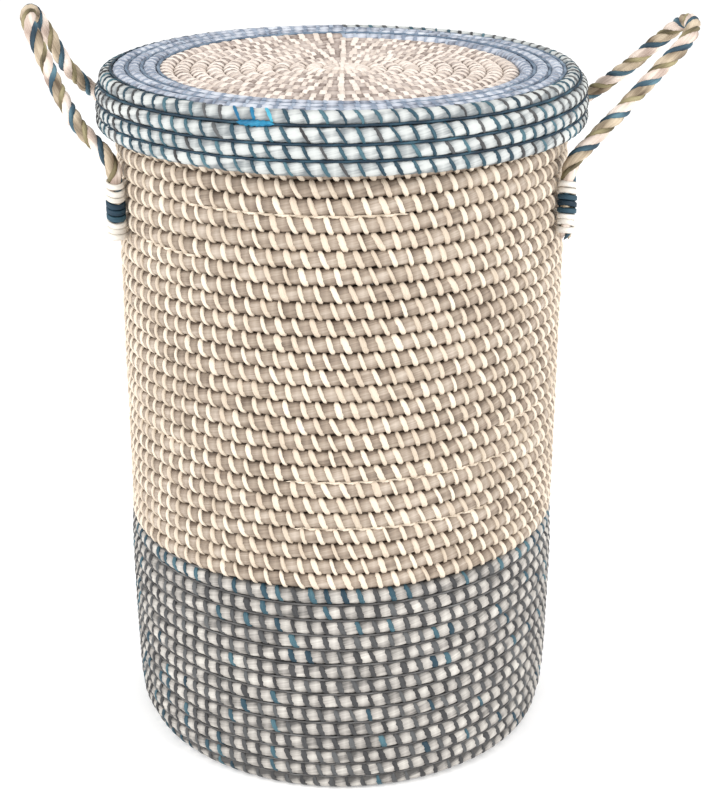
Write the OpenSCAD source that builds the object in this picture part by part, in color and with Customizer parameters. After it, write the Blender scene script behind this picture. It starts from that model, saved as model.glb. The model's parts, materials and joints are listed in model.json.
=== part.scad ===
// Coiled seagrass laundry basket with a lift-off cap lid and two rope handles.
// Origin: centre of the foot, on the floor. +Z is up, -Y is the front, the handles stand at -X and +X.
// Every coil is drawn as a stack of round courses, one ring for each turn of the real spiral.

/* [Basket] */
// Outer diameter of the straight wall
body_d = 380; // [340:5:420]
// Height of the basket without its lid
body_h = 576; // [540:4:600]
// Height of the blue-stitched band at the foot
band_h = 195; // [170:5:220]
// Courses of coil in the blue-stitched band
band_courses = 14; // [12:1:16]
// Courses of coil in the cream-stitched wall
wall_courses = 27; // [25:1:30]
// How far the band swells beyond the straight wall
band_bulge = 2; // [0:0.5:3]
// How far the band draws in from its top to the foot
foot_taper = 2.5; // [0:0.5:8]
// How far the lowest course turns in under the band
foot_turn = 4; // [1:0.5:5]

/* [Lid] */
// Outer diameter of the lid's skirt
lid_d = 410; // [408:1:414]
// Diameter of the cream-stitched centre of the lid
disc_d = 300; // [260:5:310]
// How far the skirt hangs below the basket's rim
skirt_drop = 35; // [31:1:40]
// How far the cream-stitched centre sits below the ring round it
disc_sink = 4; // [0:0.5:4]
// Courses of coil in the cream-stitched centre, counted from the middle
disc_courses = 11; // [9:1:13]
// Courses of coil in the blue-stitched ring round the centre
ring_courses = 3; // [3:1:4]
// Thickness of the lid's coil
lid_coil = 13; // [12:0.5:14]

/* [Handles] */
// Diameter of the rope
rope_d = 15; // [12:1:18]
// Half the distance between the two roots of one handle
root_half_span = 76; // [60:1:84]
// Height of the roots above the floor
root_z = 520; // [505:1:522]
// Length of each rope tail down the outside of the wall
tail_len = 52; // [50:1:110]
// Wraps of strip that bind each tail to the wall
wraps = 3; // [2:1:4]
// Sides of the rope's cross-section
rope_sides = 12; // [8:1:16]

/* [Hidden] */

$fn = 96;
fuse = 0.53;               // a course's radius over its pitch: neighbours overlap and fuse
fit_gap = 0.5;             // air between pieces of different bodies
trim = 40;                 // size of the blocks that trim the courses, larger than any coil

band_pitch = band_h / band_courses;
wall_pitch = (body_h - band_h) / (wall_courses + 1);
band_r = fuse * band_pitch;
wall_r = fuse * wall_pitch;
body_r = body_d / 2;
rim_r = body_r - wall_r;   // middle of the coil in the straight wall

// Middle of the coil in band course i, counted from the floor. The swelling dies out over the top 3 courses.
function band_z(i) = (i + 0.5) * band_pitch;
function band_mid(i) = body_r - band_r + band_bulge * min(1, (band_courses - i) / 3)
    - foot_taper * pow(1 - i / band_courses, 2) - foot_turn * pow(0.3, i);
function wall_z(i) = band_h + (i + 0.5) * wall_pitch;

// The flat base: courses from the corner course to the middle
base_outer = band_mid(0) - band_pitch;
base_count = floor(base_outer / band_pitch);

// The lid: centre courses, ring courses, then the skirt round the shoulder
disc_pitch = disc_d / 2 / disc_courses;
disc_r = fuse * disc_pitch;
skirt_mid = lid_d / 2 - lid_coil / 2;
shoulder_in = 5.5;                         // how far the shoulder course sits inside the skirt
ring_pitch = (skirt_mid - shoulder_in - disc_d / 2) / (ring_courses + 0.5);
ring_r = fuse * ring_pitch;
ring_edge = disc_d / 2 + ring_courses * ring_pitch;
lid_low = body_h + fit_gap + ring_r;       // middle height of the ring coils
disc_z = lid_low - disc_sink;              // middle height of the centre's coils
skirt_low = body_h - skirt_drop + lid_coil / 2;
shoulder_z = lid_low + 0.5;
skirt_step = (shoulder_z - skirt_low) / 2.95;
skirt_r = 0.54 * skirt_step;
skirt_mids = concat([[skirt_mid - shoulder_in, shoulder_z]],
    [for (i = [2:-1:0]) [skirt_mid, skirt_low + i * skirt_step]]);

// The roots of the handles, at the middle of the rope, and the tails below them
rope_r = rope_d / 2;
tail_mid = body_r + rope_r + 0.2;
root_x = sqrt(pow(tail_mid + 1.5, 2) - pow(root_half_span, 2));
tail_top = root_z - rope_r - 1.2;
tail_x = sqrt(pow(tail_mid, 2) - pow(root_half_span, 2));

// Half of each handle's route: out from the root, in from the root's span, up from the root
left_half = [[0, 0, 0], [5, 1, 8], [15, 7, 17], [28, 16, 29], [39, 29, 42], [49, 41, 57], [57, 48, 74],
             [64, 51, 90], [70, 58, 102], [72, 69, 108]];
right_half = [[0, 0, 0], [5, 1, 8], [15, 6, 17], [28, 14, 29], [41, 22, 40], [54, 30, 52], [67, 36, 65],
              [80, 40, 78], [91, 45, 89], [99, 54, 98], [102, 67, 102]];

// The whole loop, from the front root over the top to the rear root
function loop_points(side, half) = concat(
    [for (p = half) [side * (root_x + p[0]), -(root_half_span - p[1]), root_z + p[2]]],
    [for (i = [len(half) - 1:-1:0]) let (p = half[i])
        [side * (root_x + p[0]), root_half_span - p[1], root_z + p[2]]]);

// A smooth curve through the points, with steps short pieces between each pair
function along(a, b, c, d, t) = 0.5 * (2 * b + (c - a) * t + (2 * a - 5 * b + 4 * c - d) * t * t
    + (3 * b - a - 3 * c + d) * t * t * t);
function smooth(p, steps) = let (n = len(p)) concat(
    [for (i = [0:n - 2]) for (s = [0:steps - 1])
        along(p[max(i - 1, 0)], p[i], p[i + 1], p[min(i + 2, n - 1)], s / steps)],
    [p[n - 1]]);

function unit(v) = v / norm(v);

// Rings of a tube along a route. The first direction across is turned as little as possible at each step.
function headings(p) = [for (i = [0:len(p) - 1]) unit(p[min(i + 1, len(p) - 1)] - p[max(i - 1, 0)])];
function across(d, previous) = unit(previous - (previous * d) * d);
function frames(d, i, previous) = i >= len(d) ? []
    : let (a = across(d[i], previous)) concat([a], frames(d, i + 1, a));

module tube(points, r, sides) {
    d = headings(points);
    a = frames(d, 0, [0.3, 1, 0.2]);
    n = len(points);
    rings = [for (i = [0:n - 1]) for (k = [0:sides - 1])
        points[i] + r * (cos(360 * k / sides) * a[i] + sin(360 * k / sides) * cross(d[i], a[i]))];
    walls = [for (i = [0:n - 2]) for (k = [0:sides - 1]) let (j = (k + 1) % sides)
        [i * sides + k, (i + 1) * sides + k, (i + 1) * sides + j, i * sides + j]];
    polyhedron(rings, concat(walls, [[for (k = [0:sides - 1]) k],
        [for (k = [sides - 1:-1:0]) (n - 1) * sides + k]]), convexity = 6);
}

// One course of coil, and a stack of them, turned round the middle of the basket
module course(mid, z, r) {
    translate([mid, z]) circle(r);
}

module base_coil() {
    color("tan") rotate_extrude() intersection() {
        union() {
            for (i = [0:base_count]) course(base_outer - i * band_pitch, band_z(0), band_r);
            square([band_pitch, band_pitch]);
        }
        square([base_outer + band_pitch / 2, 4 * band_r]);
    }
}

module lower_wall_coil() {
    color("slategray") rotate_extrude() difference() {
        for (i = [0:band_courses - 1]) course(band_mid(i), band_z(i), band_r);
        translate([0, band_h]) square([body_r + trim, trim]);
        translate([0, -trim]) square([body_r + trim, trim]);
        square([base_outer + band_pitch / 2, 2 * band_r]);
    }
}

module upper_wall_coil() {
    color("wheat") rotate_extrude() intersection() {
        for (i = [0:wall_courses - 1]) course(rim_r, wall_z(i), wall_r);
        translate([0, band_h]) square([body_r + trim, wall_courses * wall_pitch]);
    }
}

module rim_coil() {
    color("burlywood") rotate_extrude() intersection() {
        course(rim_r, wall_z(wall_courses), wall_r);
        translate([0, band_h + wall_courses * wall_pitch]) square([body_r + trim, wall_pitch]);
    }
}

module lid_disc_coil() {
    color("wheat") rotate_extrude() intersection() {
        union() {
            for (i = [0:disc_courses - 1]) course((i + 0.5) * disc_pitch, disc_z, disc_r);
            translate([0, disc_z - disc_r]) square([disc_pitch / 2, 2 * disc_r]);
        }
        translate([0, lid_low - trim / 2]) square([disc_d / 2, trim]);
    }
}

module lid_ring_coil() {
    color("slategray") rotate_extrude() difference() {
        for (i = [0:ring_courses - 1]) course(disc_d / 2 + (i + 0.5) * ring_pitch, lid_low, ring_r);
        translate([0, lid_low - trim / 2]) square([disc_d / 2, trim]);
        translate([ring_edge, lid_low - trim / 2]) square([trim, trim]);
    }
}

module lid_skirt_coil() {
    color("lightsteelblue") rotate_extrude() difference() {
        for (m = skirt_mids) course(m[0], m[1], skirt_r);
        translate([0, lid_low - trim / 2]) square([ring_edge, trim]);
    }
}

// A tail of rope down the wall, with a rounded top under its root
module rope_tail(side, end) {
    translate([side * tail_x, end * root_half_span, tail_top - tail_len]) rotate_extrude() union() {
        square([rope_r, tail_len - rope_r]);
        intersection() {
            translate([0, tail_len - rope_r]) circle(rope_r);
            square([rope_r, tail_len]);
        }
    }
}

// Strips wrapped over a tail and drawn through the wall on both sides of it
module lashing(side, end) {
    thick = 1.4;
    wide = 4;
    for (i = [0:wraps - 1])
        translate([side * tail_x, end * root_half_span, tail_top - tail_len * (i + 0.5) / wraps - wide / 2])
            difference() {
                cylinder(h = wide, r = rope_r + thick);
                translate([0, 0, -1]) cylinder(h = wide + 2, r = rope_r);
                translate([-side * tail_x, -end * root_half_span, -1]) cylinder(h = wide + 2, r = body_r);
            }
}

module handle_rope(side, half) {
    color("peru") tube(smooth(loop_points(side, half), 3), rope_r, rope_sides);
}

module left_front_tail() { color("peru") rope_tail(-1, -1); }
module left_rear_tail() { color("peru") rope_tail(-1, 1); }
module right_front_tail() { color("peru") rope_tail(1, -1); }
module right_rear_tail() { color("peru") rope_tail(1, 1); }
module left_front_lashing() { color("ivory") lashing(-1, -1); }
module left_rear_lashing() { color("ivory") lashing(-1, 1); }
module right_front_lashing() { color("ivory") lashing(1, -1); }
module right_rear_lashing() { color("ivory") lashing(1, 1); }
module left_handle_rope() { handle_rope(-1, left_half); }
module right_handle_rope() { handle_rope(1, right_half); }

base_coil();
lower_wall_coil();
upper_wall_coil();
rim_coil();
left_front_tail();
left_rear_tail();
right_front_tail();
right_rear_tail();
left_front_lashing();
left_rear_lashing();
right_front_lashing();
right_rear_lashing();
lid_disc_coil();
lid_ring_coil();
lid_skirt_coil();
left_handle_rope();
right_handle_rope();
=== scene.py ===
"""Coiled seagrass laundry basket: the looks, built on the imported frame. Metres, +Z up, -Y is the front."""

import json
import math

import bpy
import numpy as np
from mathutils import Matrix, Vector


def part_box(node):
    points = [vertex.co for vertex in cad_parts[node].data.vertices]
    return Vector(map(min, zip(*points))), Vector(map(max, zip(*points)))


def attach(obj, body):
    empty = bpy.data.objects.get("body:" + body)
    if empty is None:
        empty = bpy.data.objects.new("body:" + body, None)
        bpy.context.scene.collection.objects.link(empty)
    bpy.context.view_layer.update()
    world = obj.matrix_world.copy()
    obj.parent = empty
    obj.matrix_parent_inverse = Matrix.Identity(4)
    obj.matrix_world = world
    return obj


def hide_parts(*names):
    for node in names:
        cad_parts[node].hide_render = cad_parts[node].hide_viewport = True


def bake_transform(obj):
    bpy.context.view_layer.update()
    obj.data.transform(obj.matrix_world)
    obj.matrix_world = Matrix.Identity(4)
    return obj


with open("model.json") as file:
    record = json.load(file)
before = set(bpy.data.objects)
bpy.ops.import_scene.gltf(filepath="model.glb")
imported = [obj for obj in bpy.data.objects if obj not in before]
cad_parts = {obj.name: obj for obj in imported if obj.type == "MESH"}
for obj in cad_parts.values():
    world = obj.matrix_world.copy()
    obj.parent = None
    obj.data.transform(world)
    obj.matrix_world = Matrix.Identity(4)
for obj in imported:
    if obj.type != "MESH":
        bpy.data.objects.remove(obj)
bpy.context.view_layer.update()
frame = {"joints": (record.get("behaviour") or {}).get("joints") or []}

MM = 0.001
TURN = 2 * math.pi
rng = np.random.default_rng(20)


def low(node):
    """The lowest corner of a node's box at rest."""
    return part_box(node)[0]


def top(node):
    """The highest corner of a node's box at rest."""
    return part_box(node)[1]


# What the solids were drawn with: the courses of coil in each part, and the band's and skirt's shapes
BAND_COURSES = 14
WALL_COURSES = 28
DISC_COURSES = 11
RING_COURSES = 3
FUSE = 0.53                                     # a course's radius over its pitch
SKIRT_FUSE = 0.54                               # the same, in the lid's skirt
SKIRT_STEPS = 2.95                              # courses from the lowest one's middle to the shoulder's
SHOULDER_IN = 5.5 * MM                          # how far the shoulder's course sits inside the skirt
BAND_BULGE = 2 * MM                             # how far the band swells beyond the straight wall
FOOT_TAPER = 2.5 * MM                           # how far the band draws in from its top to the foot
FOOT_TURN = 4 * MM                              # how far the lowest course turns in under the band

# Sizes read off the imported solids
BAND_H = low("upper_wall_coil").z
BAND_PITCH = BAND_H / BAND_COURSES
WALL_PITCH = (top("rim_coil").z - BAND_H) / WALL_COURSES
WALL_MID = top("upper_wall_coil").x - FUSE * WALL_PITCH
DISC_PITCH = top("lid_disc_coil").x / DISC_COURSES
DISC_Z = top("lid_disc_coil").z - FUSE * DISC_PITCH
RING_PITCH = (top("lid_ring_coil").x - top("lid_disc_coil").x) / RING_COURSES
RING_Z = top("lid_ring_coil").z - FUSE * RING_PITCH

# The drawn coil: half its thickness through the wall and half its height, as shares of its pitch
COIL_OUT = 0.465
COIL_UP = 0.505

# Stitches in one round. A little off a whole number, so that each round's stitches lean past the last one's
WALL_STITCHES = 87.87
BAND_STITCHES = 87.95
LID_STITCHES = 94.07


# ---------------------------------------------------------------- camera, light and floor

def add_camera():
    """Stands 1.4 m in front of the basket and looks down on it by 21.75 degrees."""
    look_down = 21.75
    roll = 0.2
    data = bpy.data.cameras.new("camera")
    data.lens = 75.92
    camera = bpy.data.objects.new("camera", data)
    camera.location = (0.0112, -1.4025, 0.8466)
    camera.rotation_mode = "ZYX"            # in this order the last angle turns it round its line of view
    camera.rotation_euler = (math.radians(90 - look_down), 0, math.radians(roll))
    bpy.context.scene.collection.objects.link(camera)
    bpy.context.scene.camera = camera


def add_softbox(name, side):
    """A round light to one side of the camera, turned towards the basket."""
    place = (side * 2.2, -1.6, 1.6)
    target = (0, 0, 0.3)
    data = bpy.data.lights.new(name, "AREA")
    data.shape = "DISK"
    data.size = 1.6
    data.energy = 48
    light = bpy.data.objects.new(name, data)
    light.location = place
    x, y, z = (p - t for p, t in zip(place, target))
    light.rotation_euler = (math.atan2(math.hypot(x, y), z), 0, math.atan2(x, -y))
    bpy.context.scene.collection.objects.link(light)


def add_floor():
    """A wide pale floor that gives off a little light, so that it shows white."""
    half = 30
    corners = [(-half, -half, 0), (half, -half, 0), (half, half, 0), (-half, half, 0)]
    mesh = bpy.data.meshes.new("floor")
    mesh.from_pydata(corners, [], [(0, 1, 2, 3)])
    floor = bpy.data.objects.new("floor", mesh)
    bpy.context.scene.collection.objects.link(floor)
    material = bpy.data.materials.new("floor")
    material.use_nodes = True
    shader = material.node_tree.nodes["Principled BSDF"]
    shader.inputs["Base Color"].default_value = (0.93, 0.93, 0.93, 1)
    shader.inputs["Emission Color"].default_value = (1, 1, 1, 1)
    shader.inputs["Emission Strength"].default_value = 0.14
    shader.inputs["Roughness"].default_value = 1
    shader.inputs["Specular IOR Level"].default_value = 0
    mesh.materials.append(material)


def add_sky(strength):
    """Even white light from all round."""
    world = bpy.data.worlds.new("studio")
    world.use_nodes = True
    back = world.node_tree.nodes["Background"]
    back.inputs["Color"].default_value = (1, 1, 1, 1)
    back.inputs["Strength"].default_value = strength
    bpy.context.scene.world = world


# ---------------------------------------------------------------- materials

def linear(colour):
    """A colour given as display values from 11 to 255, as linear light."""
    return tuple(((c / 255 + 0.055) / 1.055) ** 2.4 for c in colour) + (1,)


class Graph:
    """Short names for adding and linking shader nodes."""

    def __init__(self, material):
        self.tree = material.node_tree

    def add(self, kind, values=(), **settings):
        """A node with its settings, and its input sockets set or linked."""
        node = self.tree.nodes.new(kind)
        for key, value in settings.items():
            setattr(node, key, value)
        for key, value in dict(values).items():
            self.put(value, node.inputs[key])
        return node

    def put(self, value, socket):
        if isinstance(value, bpy.types.NodeSocket):
            self.tree.links.new(value, socket)
        else:
            socket.default_value = value

    def math(self, operation, a, b):
        return self.add("ShaderNodeMath", {0: a, 1: b}, operation=operation).outputs[0]

    def noise(self, vector, scale, detail):
        values = {"Vector": vector, "Scale": scale, "Detail": detail, "Roughness": 0.6}
        return self.add("ShaderNodeTexNoise", values).outputs["Fac"]

    def ramp(self, value, stops):
        node = self.add("ShaderNodeValToRGB", {"Fac": value})
        points = node.color_ramp.elements
        while len(points) < len(stops):
            points.new(0.5)
        for point, (position, colour) in zip(points, stops):
            point.position = position
            point.color = colour
        return node.outputs["Color"]


def grass(name, dark, middle, light, along=40, across=900, roughness=0.7, relief=0.4):
    """Dried grass: streaks that run with the strand, a tone for each piece, and a relief to match.

    The mesh gives "fibre", a point whose x runs along the strand, and "tone", which is 1 at its lightest. On
    the coils the tone also carries painted shade in the grooves and at the stitches, and a painted highlight
    midway between stitches.
    """
    material = bpy.data.materials.new(name)
    material.use_nodes = True
    g = Graph(material)
    fibre = g.add("ShaderNodeAttribute", attribute_name="fibre").outputs["Vector"]
    tone = g.add("ShaderNodeAttribute", attribute_name="tone").outputs["Fac"]
    long = g.add("ShaderNodeMapping", {"Vector": fibre, "Scale": (along, across, across)}).outputs["Vector"]
    streaks = g.noise(long, 1.0, 4)
    patches = g.noise(fibre, 60.0, 2)
    shade = g.math("ADD", g.math("MULTIPLY", streaks, 0.5), g.math("MULTIPLY", patches, 0.25))
    shade = g.math("ADD", shade, g.math("MULTIPLY", tone, 0.5))
    colour = g.ramp(shade, [(0.32, linear(dark)), (0.62, linear(middle)), (0.92, linear(light))])
    bump = g.add("ShaderNodeBump", {"Strength": relief, "Distance": 0.0006, "Height": streaks})
    shader = g.tree.nodes["Principled BSDF"]
    g.put(colour, shader.inputs["Base Color"])
    g.put(bump.outputs["Normal"], shader.inputs["Normal"])
    g.put(g.math("ADD", g.math("MULTIPLY", streaks, 0.3), roughness - 0.15), shader.inputs["Roughness"])
    shader.inputs["Specular IOR Level"].default_value = 0.3
    return material


# The dark, middle and light tones of each material: bundles and rope strands, then flat strips
BUNDLES = {
    "tan_grass": ((100, 86, 74), (154, 139, 124), (192, 179, 165)),
    "grey_grass": ((84, 82, 80), (168, 163, 157), (210, 206, 198)),
    "pale_grass": ((124, 129, 131), (188, 191, 189), (202, 205, 202)),
    "blue_grass": ((100, 106, 120), (182, 187, 198), (214, 218, 224)),
    "straw_grass": ((112, 98, 90), (176, 162, 154), (212, 200, 190)),
    "tan_rope": ((92, 78, 62), (162, 146, 124), (206, 190, 166)),
    "cream_rope": ((158, 138, 126), (214, 197, 184), (242, 230, 220)),
    "teal_rope": ((30, 44, 56), (58, 84, 98), (98, 132, 144)),
    # painted shade: the thin olive strand that darkens the grooves between the rope's strands
    "painted_shade_rope": ((70, 62, 46), (118, 108, 80), (156, 146, 112)),
}
STRIPS = {
    "cream_strip": ((178, 162, 142), (218, 203, 184), (236, 224, 206)),
    "white_strip": ((190, 184, 174), (224, 218, 208), (240, 236, 228)),
    "slate_strip": ((38, 38, 40), (68, 68, 69), (100, 102, 103)),
    "teal_strip": ((20, 36, 50), (44, 74, 87), (84, 120, 130)),
    "grey_strip": ((56, 56, 56), (90, 88, 87), (120, 120, 119)),
    "ray_strip": ((184, 170, 158), (222, 209, 198), (238, 228, 218)),
    "navy_strip": ((14, 28, 40), (28, 52, 68), (58, 92, 106)),
    "arc_strip": ((66, 80, 98), (102, 120, 140), (150, 166, 180)),
    "blue_strip": ((98, 110, 128), (140, 151, 168), (184, 193, 204)),
    "bright_strip": ((18, 74, 110), (34, 122, 160), (92, 186, 204)),
}
MATERIALS = {name: grass(name, *tones) for name, tones in BUNDLES.items()}
for strip_name, strip_tones in STRIPS.items():
    MATERIALS[strip_name] = grass(strip_name, *strip_tones, along=60, across=1400, roughness=0.55, relief=0.2)


# ---------------------------------------------------------------- meshes

def build(name, points, faces, fibre, tone, material, body):
    """One smooth-shaded object of quads from arrays, attached to the body when one is given."""
    mesh = bpy.data.meshes.new(name)
    mesh.vertices.add(len(points))
    mesh.vertices.foreach_set("co", np.asarray(points, np.float32).ravel())
    mesh.loops.add(faces.size)
    mesh.loops.foreach_set("vertex_index", faces.astype(np.int32).ravel())
    mesh.polygons.add(len(faces))
    mesh.polygons.foreach_set("loop_start", np.arange(len(faces), dtype=np.int32) * 4)
    mesh.polygons.foreach_set("use_smooth", np.ones(len(faces), bool))
    mesh.update(calc_edges=True)
    kinds = (("fibre", "FLOAT_VECTOR", "vector", fibre), ("tone", "FLOAT", "value", tone))
    for key, kind, field, values in kinds:
        layer = mesh.attributes.new(key, kind, "POINT")
        layer.data.foreach_set(field, np.asarray(values, np.float32).ravel())
    mesh.materials.append(MATERIALS[material])
    obj = bpy.data.objects.new(name, mesh)
    bpy.context.scene.collection.objects.link(obj)
    if body:
        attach(obj, body)
    return obj


def unit(vectors):
    return vectors / np.maximum(np.linalg.norm(vectors, axis=-1, keepdims=True), 1e-12)


def distances(path):
    """How far each point lies along a path."""
    return np.concatenate([[0], np.cumsum(np.linalg.norm(np.diff(path, axis=0), axis=1))])


def grid_faces(rings, sides, closed=False):
    """Quads of a tube of rings, or of a closed loop of them."""
    here = np.arange(rings if closed else rings - 1)[:, None] * sides
    ahead = (here + sides) % (rings * sides)
    corner = np.arange(sides)[None, :]
    beside = (corner + 1) % sides
    return np.stack([here + corner, here + beside, ahead + beside, ahead + corner], -1).reshape(-1, 4)


def wander(run, lengths, seed):
    """A slow drift along a line, from -1 to 1: the mean of one wave for each wavelength."""
    draw = np.random.default_rng(seed)
    return sum(np.sin(TURN * run / length + draw.uniform(0, TURN)) for length in lengths) / len(lengths)


class Bundle:
    """Rings of a twisted bundle of grass blades along a path, to be cut into pieces.

    half_out and half_up are half its thickness in the two directions across, and swell scales both. twist is
    the length in which the blades turn once, and it tapers to nothing over the lengths in ends. groove is how
    much painted shade darkens it where it faces the turns above and below, in the grooves.
    """

    def __init__(self, path, out, up, half_out, half_up, swell, tone, blades=7, twist=0.16, seed=1,
                 ends=(0, 0), groove=0.0):
        count = len(path)
        sides = 3 * blades                      # a groove, a crown and a shoulder for each blade
        run = distances(path)
        draw = np.random.default_rng(seed)
        blade = np.arange(sides) // 3
        relief = np.tile((0.91, 1.0, 0.985), blades) * draw.uniform(0.97, 1.02, blades)[blade]
        fade = np.ones(count)
        if ends[0]:
            fade = fade * np.sqrt(np.clip(run / ends[0], 0, 1))
        if ends[1]:
            fade = fade * np.sqrt(np.clip((run[-1] - run) / ends[1], 0, 1))
        size = relief[None, :] * (swell * fade)[:, None]
        base = np.arange(sides) * TURN / sides
        angle = base[None, :] + TURN * run[:, None] / twist
        outward = (half_out[:, None] * size * np.cos(angle))[..., None]
        upward = (half_up[:, None] * size * np.sin(angle))[..., None]
        self.sides = sides
        self.points = path[:, None, :] + outward * out[:, None, :] + upward * up[:, None, :]
        self.fibre = np.stack([np.broadcast_to(run[:, None], (count, sides)),
                               half_out[:, None] * np.cos(base),
                               half_up[:, None] * np.sin(base)], -1)
        shade = draw.uniform(-0.25, 0.25, blades)[blade]
        drift = 0.12 * wander(run, (0.07, 0.23, 0.61), seed + 1)
        # painted shade: darker where the bundle faces the turns above and below, in the grooves between them
        painted_groove_shade = groove * np.abs(np.sin(angle)) ** 5
        self.tone = np.clip(tone[:, None] + shade[None, :] + drift[:, None] - painted_groove_shade, -0.4, 1)

    def piece(self, name, first, last, material, slot, body):
        """Rings first to last as one object."""
        part = slice(first, last + 1)
        faces = grid_faces(last - first + 1, self.sides)
        return build(name, self.points[part].reshape(-1, 3), faces, self.fibre[part].reshape(-1, 3),
                     self.tone[part].ravel(), material, body)


# A wrap's cross-section: its corners as shares of the strip's width and of its thickness
WRAP_SECTION = ((-0.5, -0.4), (-0.28, 0.95), (0.28, 0.95), (0.5, -0.4))
WRAP_GIRTH = 0.006                              # length of strip for each radian round a coil
WRAP_APART = 0.05                               # between the grain of one wrap and that of the next


def wraps(name, centre, along, out, up, half_out, half_up, width, slant, tone, thick, material, body,
          rounds=16, narrowing=0.5):
    """Strips that each go once round a coil: closed crowned loops, one for each centre.

    slant is how far a strip's top and foot lie off its middle, along the coil. narrowing is how much of its
    width it loses there.
    """
    count = len(centre)
    corners = len(WRAP_SECTION)
    angle = np.arange(rounds) * TURN / rounds
    column = [np.broadcast_to(value, (count,))[:, None] for value in (half_out, half_up, width, slant, thick)]
    half_out, half_up, width, slant, thick = column
    points = np.zeros((count, rounds, corners, 3))
    fibre = np.zeros((count, rounds, corners, 3))
    narrow = 1 - narrowing * np.abs(np.sin(angle)) ** 6
    lead = -slant * np.sin(angle)
    for i, (side, height) in enumerate(WRAP_SECTION):
        outward = (half_out + height * thick) * np.cos(angle)
        upward = (half_up + height * thick) * np.sin(angle)
        forward = lead + side * width * narrow
        points[:, :, i] = (centre[:, None] + outward[..., None] * out[:, None]
                           + upward[..., None] * up[:, None] + forward[..., None] * along[:, None])
        fibre[:, :, i, 0] = angle * WRAP_GIRTH
        fibre[:, :, i, 1] = side * width
        fibre[:, :, i, 2] = tone[:, None] * 0.5
    fibre[..., 0] += np.arange(count)[:, None, None] * WRAP_APART
    first_corner = np.arange(count) * rounds * corners
    faces = grid_faces(rounds, corners, closed=True)[None] + first_corner[:, None, None]
    tones = np.broadcast_to(tone[:, None, None], (count, rounds, corners))
    return build(name, points.reshape(-1, 3), faces.reshape(-1, 4), fibre.reshape(-1, 3), tones.ravel(),
                 material, body)


# ---------------------------------------------------------------- the spirals

class Spiral:
    """A coil laid turn on turn. The middles (radius, height) say where the middle of each turn runs."""

    def __init__(self, middles, hand, seed):
        self.middles = np.array(middles)
        self.hand = hand                        # 1 runs anticlockwise from above, -1 clockwise
        self.seed = seed

    def profile(self, turns):
        index = np.arange(len(self.middles)) + 0.5
        return np.interp(turns, index, self.middles[:, 0]), np.interp(turns, index, self.middles[:, 1])

    def at(self, turns, lift=0.0):
        """Centre, along, out and up at each number of turns, counted from the back.

        Up points from the turn before to the turn after, and out leaves by the outer face of the wall or lid.
        A lift of 0.5 gives the groove between a turn and the next.
        """
        turns = np.asarray(turns, float)
        radius, height = self.profile(turns + lift)
        radius_before, height_before = self.profile(turns + lift - 0.5)
        radius_after, height_after = self.profile(turns + lift + 0.5)
        span = np.hypot(radius_after - radius_before, height_after - height_before)
        length = np.maximum(span, 1e-9)
        still = span < 1e-6                     # before the first turn the profile stands still
        rise = np.sign(self.middles[-1, 1] - self.middles[0, 1])
        outward = np.where(still, 0, (radius_after - radius_before) / length)
        upward = np.where(still, rise, (height_after - height_before) / length)
        run = turns * 1.2
        radius = radius + 0.35 * MM * wander(run, (0.17, 0.41, 1.03), self.seed)
        height = height + 0.3 * MM * wander(run, (0.13, 0.37, 1.11), self.seed + 1)
        angle = math.pi / 2 + self.hand * TURN * turns
        radial = np.stack([np.cos(angle), np.sin(angle), 0 * angle], -1)
        upright = np.array([0, 0, 1.0])
        centre = radial * radius[:, None] + upright * height[:, None]
        up = radial * outward[:, None] + upright * upward[:, None]
        out = self.hand * (radial * upward[:, None] - upright * outward[:, None])
        return centre, np.cross(up, out), out, up


def even(first, last, per_turn, jitter):
    """Places of the stitches between two turns, in turns."""
    index = np.arange(math.ceil(first * per_turn - 1e-6), math.ceil(last * per_turn - 1e-6))
    return (index + rng.uniform(-jitter, jitter, len(index))) / per_turn


def rays(first, counts, jitter):
    """Places of stitches that line up as rays: a count for each turn from the first one."""
    return np.concatenate([first + i + (np.arange(count) + rng.uniform(-jitter, jitter, count)) / count
                           for i, count in enumerate(counts)])


def lay_coil(spiral, knots, end, pitch, seed, groove=0.75):
    """The bundle along a spiral, drawn in at each stitch and swollen between them, with painted shade at and
    beside each stitch and a painted highlight midway between stitches.

    pitch is a function of turns, and groove is how much painted shade darkens the grooves. Gives the bundle
    and the turns of its rings.
    """
    start = 0.02                            # in turns, where the bundle begins
    pinch = 0.92                            # its size where a stitch draws it in
    ring_places = np.array((0, 0.22, 0.5, 0.78))            # from a stitch to the next
    ring_sizes = (pinch, 0.985, 1.0, 0.985)
    # painted shading that rounds each stretch of coil: darker at and beside each stitch, a painted highlight
    # midway
    painted_ring_shading = np.array((-0.5, -0.15, 0.12, -0.15))
    knots = np.sort(knots)
    stops = np.concatenate([[start], knots[knots > start], [end]])
    steps = np.diff(stops)
    turns = np.concatenate([(stops[:-1, None] + steps[:, None] * ring_places).ravel(), [end]])
    swell = np.concatenate([np.tile(ring_sizes, len(steps)), [pinch]])
    gap_tone = rng.uniform(0.35, 0.65, len(steps))
    tone = np.concatenate([(gap_tone[:, None] + painted_ring_shading).ravel(), [0.5]])
    centre, _, out, up = spiral.at(turns)
    size = pitch(turns)
    bundle = Bundle(centre, out, up, COIL_OUT * size, COIL_UP * size, swell, tone, seed=seed,
                    ends=(0.02, 0.16), groove=groove)
    return bundle, turns


def cut(bundle, turns, first, last, *names):
    """One piece of a laid coil, from the ring at one turn to the ring at another."""
    first_ring = int(np.searchsorted(turns, first))
    last_ring = min(int(np.searchsorted(turns, last)), len(turns) - 1)
    return bundle.piece(names[0], first_ring, last_ring, *names[1:])


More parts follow.
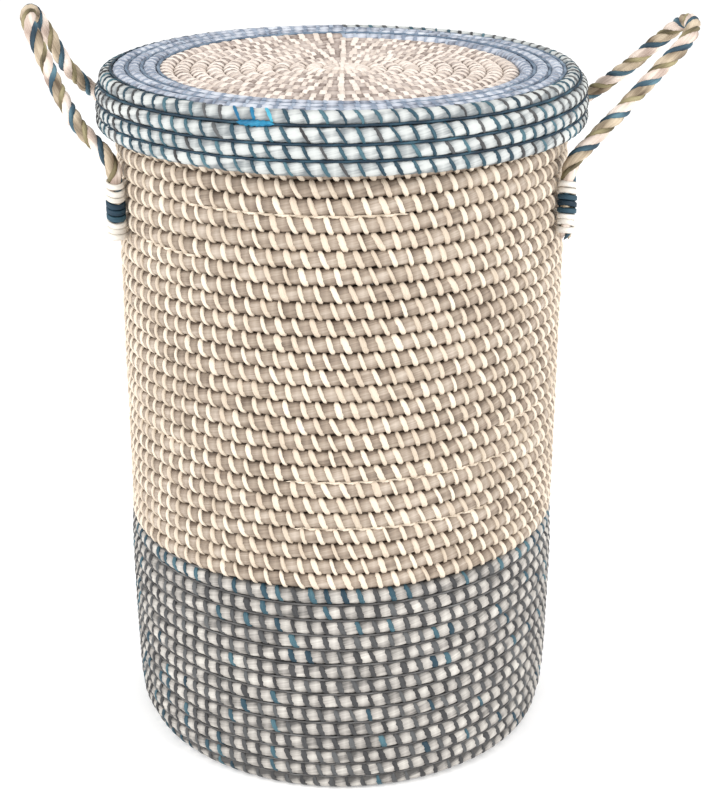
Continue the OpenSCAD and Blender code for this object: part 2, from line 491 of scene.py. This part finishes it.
def stitch(name, spiral, turns, pitch, width, slant, thick, material, slot, body, reach=0.9):
    """A wrap of strip at each place, with small differences of width, slant and tone.

    reach says how far it goes into the grooves: at 1 its ends cross them into the turns above and below.
    """
    count = len(turns)
    press = 0.9                             # how near the coil's face it lies, sunk a little into the grass
    centre, along, out, up = spiral.at(turns)
    size = pitch(turns)
    vary = rng.normal(1, 0.16, (2, count)).clip(0.6, 1.5)
    tone = rng.uniform(0.15, 0.85, count)
    return wraps(name, centre, along, out, up, COIL_OUT * press * size, COIL_UP * reach * size,
                 width * vary[0], slant * vary[1], tone, thick, material, body)


def groove_thread(name, spiral, first, last, pitch, radius, depth, material, slot, body, weave=0.3 * MM):
    """A strip that lies in the groove between a turn and the next, a third wider than it is thick.

    depth is how far out of the coils' middles it lies, as a share of the pitch. It sways in and out by the
    weave, as often as the wall has stitches.
    """
    rings_per_turn = 352                    # four for each sway
    turns = np.linspace(first, last, max(8, int((last - first) * rings_per_turn)))
    centre, _, out, up = spiral.at(turns, 0.5)
    path = centre + out * (depth * pitch(turns) - weave * np.cos(TURN * WALL_STITCHES * turns))[:, None]
    size = np.full(len(turns), radius)
    tone = 0.4 + 0.3 * wander(turns, (0.03, 0.11, 0.37), 5)
    fade = min(0.01, (last - first) * 0.3)
    thread = Bundle(path, out, up, size, 1.33 * size, np.ones(len(turns)), tone, blades=2, twist=0.03,
                    ends=(fade, fade))
    return thread.piece(name, 0, len(turns) - 1, material, slot, body)


def share(turns, chance):
    """Picks some places at random. The chance is given at each quarter of a turn, from the back."""
    quarters = (0, 0.25, 0.5, 0.75, 1)
    return rng.random(len(turns)) < np.interp(turns % 1, quarters, (*chance, chance[0]))


# ---------------------------------------------------------------- the basket

def band_middles(stand):
    """Where the band's courses run, from the floor up: its swelling, its taper and the turn of its foot."""
    straight = top("upper_wall_coil").x - FUSE * BAND_PITCH
    middles = []
    for i in range(BAND_COURSES):
        swelling = BAND_BULGE * min(1, (BAND_COURSES - i) / 3)
        taper = FOOT_TAPER * (1 - i / BAND_COURSES) ** 2
        turned_in = FOOT_TURN * 0.3 ** i
        middles.append((straight + swelling - taper - turned_in, (i + 0.5) * BAND_PITCH + stand * 0.4 ** i))
    return middles


def make_basket():
    """One spiral from the middle of the base out to the foot, and up the wall to the rim."""
    stand = 1.1 * MM                        # keeps the stitches under the base off the floor
    base_gap = 12.5 * MM                    # from a stitch of the base to the next
    band = band_middles(stand)
    corner = band[0][0] - BAND_PITCH
    base_last = int(corner / BAND_PITCH)
    base = [(corner - i * BAND_PITCH, BAND_PITCH / 2 + stand) for i in range(base_last, -1, -1)]
    wall = [(WALL_MID, BAND_H + (i + 0.5) * WALL_PITCH) for i in range(WALL_COURSES)]
    spiral = Spiral(base + band + wall, 1, seed=3)
    foot_turn = len(base)
    wall_turn = foot_turn + BAND_COURSES
    rim_turn = wall_turn + WALL_COURSES - 1
    end = wall_turn + WALL_COURSES - 0.02

    def pitch(turns):
        return np.interp(turns, (wall_turn - 0.5, wall_turn + 0.5), (BAND_PITCH, WALL_PITCH))

    base_knots = rays(0, [max(10, round(TURN * radius / base_gap)) for radius, _ in base], 0.08)
    band_knots = even(foot_turn, wall_turn, BAND_STITCHES, 0.06)
    wall_knots = even(wall_turn, end - 0.01, WALL_STITCHES, 0.06)
    coil, turns = lay_coil(spiral, np.concatenate([base_knots, band_knots, wall_knots]), end, pitch, seed=4)

    # The coil in stretches: its name, first and last turn, material, slot and the solid it stands for
    blue, cream = "blue_stitched_coil", "cream_stitched_coil"
    band_split = foot_turn + BAND_COURSES // 2
    low_split = wall_turn + WALL_COURSES // 3
    high_split = wall_turn + 2 * (WALL_COURSES // 3)
    stretches = (
        ("base_seagrass", 0, foot_turn, "grey_grass", blue, "base_coil"),
        ("band_seagrass_low", foot_turn, band_split, "grey_grass", blue, None),
        ("band_seagrass_high", band_split, wall_turn, "grey_grass", blue, "lower_wall_coil"),
        ("wall_seagrass_low", wall_turn, low_split, "tan_grass", cream, None),
        ("wall_seagrass_middle", low_split, high_split, "tan_grass", cream, "upper_wall_coil"),
        ("wall_seagrass_high", high_split, rim_turn, "tan_grass", cream, None),
        ("rim_seagrass", rim_turn, end, "tan_grass", cream, "rim_coil"),
    )
    for name, first, last, material, slot, node in stretches:
        piece = cut(coil, turns, first, last, name, material, slot, "basket")
        if node:
            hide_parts(node)

    strip = {"slant": 2.4 * MM, "thick": 0.9 * MM, "slot": blue, "body": "basket"}
    stitch("base_stitches", spiral, base_knots, pitch, 4 * MM, material="slate_strip", reach=1.0, **strip)
    top_course = band_knots > wall_turn - 1
    teal = share(band_knots, (0.1, 0.3, 0.15, 0.1)) | top_course & share(band_knots, (0.6, 0.6, 0.6, 0.6))
    for colour, some in (("slate", ~teal), ("teal", teal)):
        stitch(f"band_{colour}_stitches", spiral, band_knots[some], pitch, 5.7 * MM,
               material=colour + "_strip", **strip)
    groove_thread("band_groove_strip", spiral, foot_turn - 0.5, wall_turn - 0.6, pitch, 0.85 * MM, 0.25,
                  "grey_strip", blue, "basket")

    strip = {"slant": 2.7 * MM, "thick": 1.15 * MM, "slot": cream, "body": "basket"}
    half_gap = 0.5 / WALL_STITCHES
    split = wall_turn + WALL_COURSES // 2
    for name, first, last, reach in (("wall_stitches_low", wall_turn, split, 1.0),
                                     ("wall_stitches_high", split, rim_turn, 1.0),
                                     ("rim_stitches", rim_turn, end, 0.9)):
        part = wall_knots[(wall_knots >= first - half_gap) & (wall_knots < last - half_gap)]
        stitch(name, spiral, part, pitch, 5.6 * MM, material="cream_strip", reach=reach, **strip)

    loose_count = 9
    loose = np.sort(rng.integers(1, WALL_COURSES - 4, loose_count)) + rng.uniform(0.15, 0.7, loose_count)
    for i, start in enumerate(wall_turn + loose):
        last = start + rng.uniform(0.05, 0.16)
        groove_thread(f"wall_loose_strip_{i}", spiral, start, last, pitch, 1.1 * MM, 0.2,
                      "cream_strip", cream, "basket", weave=1.4 * MM)


# ---------------------------------------------------------------- the lid

def make_lid():
    """One spiral from the middle of the lid out to its shoulder, and down the skirt."""
    disc_r = top("lid_disc_coil").x
    skirt_r = top("lid_skirt_coil").x
    skirt_top = top("lid_skirt_coil").z
    skirt_low = low("lid_skirt_coil").z
    step = (skirt_top - skirt_low) / (SKIRT_STEPS + 2 * SKIRT_FUSE)
    coil_r = SKIRT_FUSE * step
    disc = [((i + 0.5) * DISC_PITCH, DISC_Z) for i in range(DISC_COURSES)]
    ring = [(disc_r + (i + 0.5) * RING_PITCH, RING_Z) for i in range(RING_COURSES)]
    skirt = [(skirt_r - coil_r - SHOULDER_IN, skirt_top - coil_r)]
    skirt += [(skirt_r - coil_r, skirt_low + coil_r + i * step) for i in (2, 1, 0)]
    spiral = Spiral(disc + ring + skirt, -1, seed=8)
    ring_turn = DISC_COURSES
    skirt_turn = ring_turn + RING_COURSES
    end = skirt_turn + len(skirt) - 0.02

    def pitch(turns):
        return np.interp(turns, (ring_turn - 0.5, ring_turn + 0.5, skirt_turn - 0.5, skirt_turn + 0.5),
                         (DISC_PITCH, RING_PITCH, RING_PITCH, step))

    disc_knots = rays(0, (12, 24, 24, 24, 48, 48, 48, 48, 72, 72, 72), 0.07)
    ring_knots = rays(ring_turn, (84, 90, 94), 0.06)
    skirt_knots = even(skirt_turn, end - 0.01, LID_STITCHES, 0.06)
    # groove sets the painted shade in the lid's grooves, less dark than on the basket
    coil, turns = lay_coil(spiral, np.concatenate([disc_knots, ring_knots, skirt_knots]), end, pitch, seed=9,
                           groove=0.55)

    cream, blue = "cream_stitched_coil", "blue_stitched_lid"
    for part, first, last, material, slot in (("disc", 0, ring_turn, "straw_grass", cream),
                                              ("ring", ring_turn, skirt_turn, "blue_grass", blue),
                                              ("skirt", skirt_turn, end, "pale_grass", blue)):
        piece = cut(coil, turns, first, last, f"lid_{part}_seagrass", material, slot, "lid")
        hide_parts(f"lid_{part}_coil")

    stitch("lid_disc_stitches", spiral, disc_knots, pitch, 6 * MM, 0.3 * MM, 1.1 * MM,
           "ray_strip", cream, "lid", reach=1.0)
    stitch("lid_ring_stitches", spiral, ring_knots, pitch, 4.6 * MM, 1.5 * MM, 0.7 * MM,
           "blue_strip", blue, "lid")
    groove_thread("lid_ring_groove_strip", spiral, ring_turn - 0.5, skirt_turn - 0.5, pitch, 1.2 * MM, 0.3,
                  "arc_strip", blue, "lid")

    knot = skirt_turn + 0.55                # where a bright strip shows at the front
    knot_half = 0.012                       # half of its stretch in the groove, in turns
    bright = np.abs(skirt_knots - knot) < 0.014
    teal = share(skirt_knots, (0.6, 0.15, 0.95, 0.3)) & ~bright
    slate = ~(teal | bright)
    for colour, some in (("slate", slate), ("teal", teal), ("bright", bright)):
        stitch(f"lid_skirt_{colour}_stitches", spiral, skirt_knots[some], pitch, 4 * MM, 3.3 * MM, 0.9 * MM,
               colour + "_strip", blue, "lid")
    groove_thread("lid_groove_strip", spiral, skirt_turn - 0.4, end - 0.6, pitch, 0.95 * MM, 0.28,
                  "navy_strip", blue, "lid")
    groove_thread("lid_bright_strip", spiral, knot - knot_half, knot + knot_half, pitch, 2.2 * MM, 0.36,
                  "bright_strip", blue, "lid")


# ---------------------------------------------------------------- the rope handles

ROPE_R = (top("left_front_tail").x - low("left_front_tail").x) / 2
SHOWN_ROPE_R = 0.91 * ROPE_R                    # the strands' crowns stay inside the plain tube
SPAN = top("left_rear_tail").y - ROPE_R
TAIL_X = top("right_rear_tail").x - ROPE_R
TAIL_LOW, TAIL_TOP = low("right_rear_tail").z, top("right_rear_tail").z
RIGHT_HINGE = next(joint for joint in frame["joints"] if joint["child"] == "right_handle")
ROOT_X, _, ROOT_Z = RIGHT_HINGE["pos_m"]

# Half of each handle's route, as the solids have it: millimetres out from its root, inwards and up
LEFT_HALF = ((0, 0, 0), (5, 1, 8), (15, 7, 17), (28, 16, 29), (39, 29, 42), (49, 41, 57), (57, 48, 74),
             (64, 51, 90), (70, 58, 102), (72, 69, 108))
RIGHT_HALF = ((0, 0, 0), (5, 1, 8), (15, 6, 17), (28, 14, 29), (41, 22, 40), (54, 30, 52), (67, 36, 65),
              (80, 40, 78), (91, 45, 89), (99, 54, 98), (102, 67, 102))

# Each strand's colour, its radius and how far its middle lies from the rope's in millimetres, and where it
# starts round the rope as a share of a turn
# the thin olive strand is painted shade: a dark outline laid in the groove between the tan and cream strands
STRANDS = (("cream", 4.0, 2.7, 0), ("tan", 3.9, 2.8, 0.5),
           ("teal", 2.5, 4.1, 0.26), ("painted_shade", 2.1, 4.1, 0.75))


def smooth(points, steps):
    """A smooth curve through the points, as an array."""
    route = np.array(points)
    route = np.concatenate([[2 * route[0] - route[1]], route, [2 * route[-1] - route[-2]]])
    t = (np.arange(steps) / steps)[:, None]
    parts = []
    for a, b, c, d in zip(route, route[1:], route[2:], route[3:]):
        bend = (2 * a - 5 * b + 4 * c - d) * t * t
        parts.append(0.5 * (2 * b + (c - a) * t + bend + (3 * b - a - 3 * c + d) * t ** 3))
    return np.concatenate(parts + [route[-2:-1]])


def carried_frame(path, start):
    """Two directions across a path, turned as little as possible along it."""
    heading = unit(np.gradient(path, axis=0))
    side = np.zeros_like(path)
    last = np.array(start, float)
    for i, direction in enumerate(heading):
        last = last - direction * (last @ direction)
        last = last / np.linalg.norm(last)
        side[i] = last
    return side, np.cross(heading, side)


def evenly(path, spacing):
    """The path again with its points evenly spaced, and how far along it each one lies."""
    run = distances(path)
    places = np.linspace(0, run[-1], int(run[-1] / spacing))
    return np.stack([np.interp(places, run, path[:, axis]) for axis in range(3)], -1), places


def rope_path(side, half):
    """From the end of the front tail up, over the loop and down to the end of the rear tail."""
    front = [(side * TAIL_X, -SPAN, z) for z in (TAIL_LOW, (TAIL_LOW + TAIL_TOP) / 2, TAIL_TOP)]
    front += [(side * (ROOT_X + out * MM), -SPAN + inward * MM, ROOT_Z + up * MM) for out, inward, up in half]
    rear = [(x, -y, z) for x, y, z in reversed(front)]
    return smooth(front + rear, 8)


def make_handle(name, side, half, phase):
    """A rope of twisted strands from the end of the front tail, over the loop and down to the end of the rear
    tail.

    phase is where the twist starts, in radians.
    """
    path, run = evenly(rope_path(side, half), 2.5 * MM)
    across, other = carried_frame(path, (side, 0, 0))
    lay = 38 * MM                           # the length in which the rope twists once
    body = name + "_handle"
    for i, (colour, radius, offset, start) in enumerate(STRANDS):
        angle = TURN * (run / lay + start) + phase
        reach = np.stack([np.cos(angle), np.sin(angle)], -1) * offset * MM
        route = path + across * reach[:, :1] + other * reach[:, 1:]
        out, up = carried_frame(route, (side, 0, 0))
        size = np.full(len(run), radius * MM)
        swell = 1 + 0.04 * wander(run, (0.02, 0.055, 0.13), 3 + 10 * i)
        swell = np.minimum(swell, (SHOWN_ROPE_R - offset * MM) / size)
        tone = 0.5 + 0.5 * wander(run, (0.021, 0.053), 7 + 10 * i)
        strand = Bundle(route, out, up, size, size, swell, tone, blades=6 if radius > 3 else 3, twist=-0.05,
                        seed=11 + 10 * i, ends=(0.012, 0.012))
        piece = strand.piece(f"{name}_rope_{colour}", 0, len(run) - 1, colour + "_rope", "rope", None)
        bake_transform(piece)
        if colour == "tan":
            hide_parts(body + "_rope", f"{name}_front_tail", f"{name}_rear_tail")


def make_lashings(name, side, middle):
    """Strips wrapped round each tail: navy ones about the middle height, white ones above and below."""
    step = 5.3 * MM                         # from a strip to the next
    navy = middle + step * np.arange(-1, 2)
    white = middle + step * np.array((-4, -3, -2, 2, 3, 4))
    white = white[(white > TAIL_LOW + 2 * MM) & (white < TAIL_TOP - 2 * MM)]
    for end, which in ((-1, "front"), (1, "rear")):
        radial = unit(np.array([side * TAIL_X, end * SPAN, 0]))
        for colour, heights in (("white", white), ("navy", navy)):
            count = len(heights)
            centre = np.stack([np.full(count, side * TAIL_X), np.full(count, end * SPAN), heights], -1)
            out = np.tile(radial, (count, 1))
            up = np.tile(np.cross((0, 0, 1), radial), (count, 1))
            along = np.tile((0, 0, 1.0), (count, 1))
            width = rng.uniform(5.2, 6.0, count) * MM
            slant = rng.uniform(0.5, 3, count) * MM
            tone = rng.uniform(0.2, 0.9, count)
            strip = wraps(f"{name}_{which}_lashing_{colour}", centre, along, out, up, SHOWN_ROPE_R,
                          SHOWN_ROPE_R, width, slant, tone, 1.2 * MM, colour + "_strip",
                          "basket", rounds=24, narrowing=0.1)
            if colour == "white":
                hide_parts(f"{name}_{which}_lashing")


# ---------------------------------------------------------------- the scene

add_camera()
add_sky(0.98)
add_softbox("left_softbox", -1)
add_softbox("right_softbox", 1)
add_floor()
bpy.context.scene.view_settings.view_transform = "Standard"

make_basket()
make_lid()
make_handle("left", -1, LEFT_HALF, 0.4)
make_handle("right", 1, RIGHT_HALF, 2.6)
make_lashings("left", -1, 0.483)
make_lashings("right", 1, 0.489)
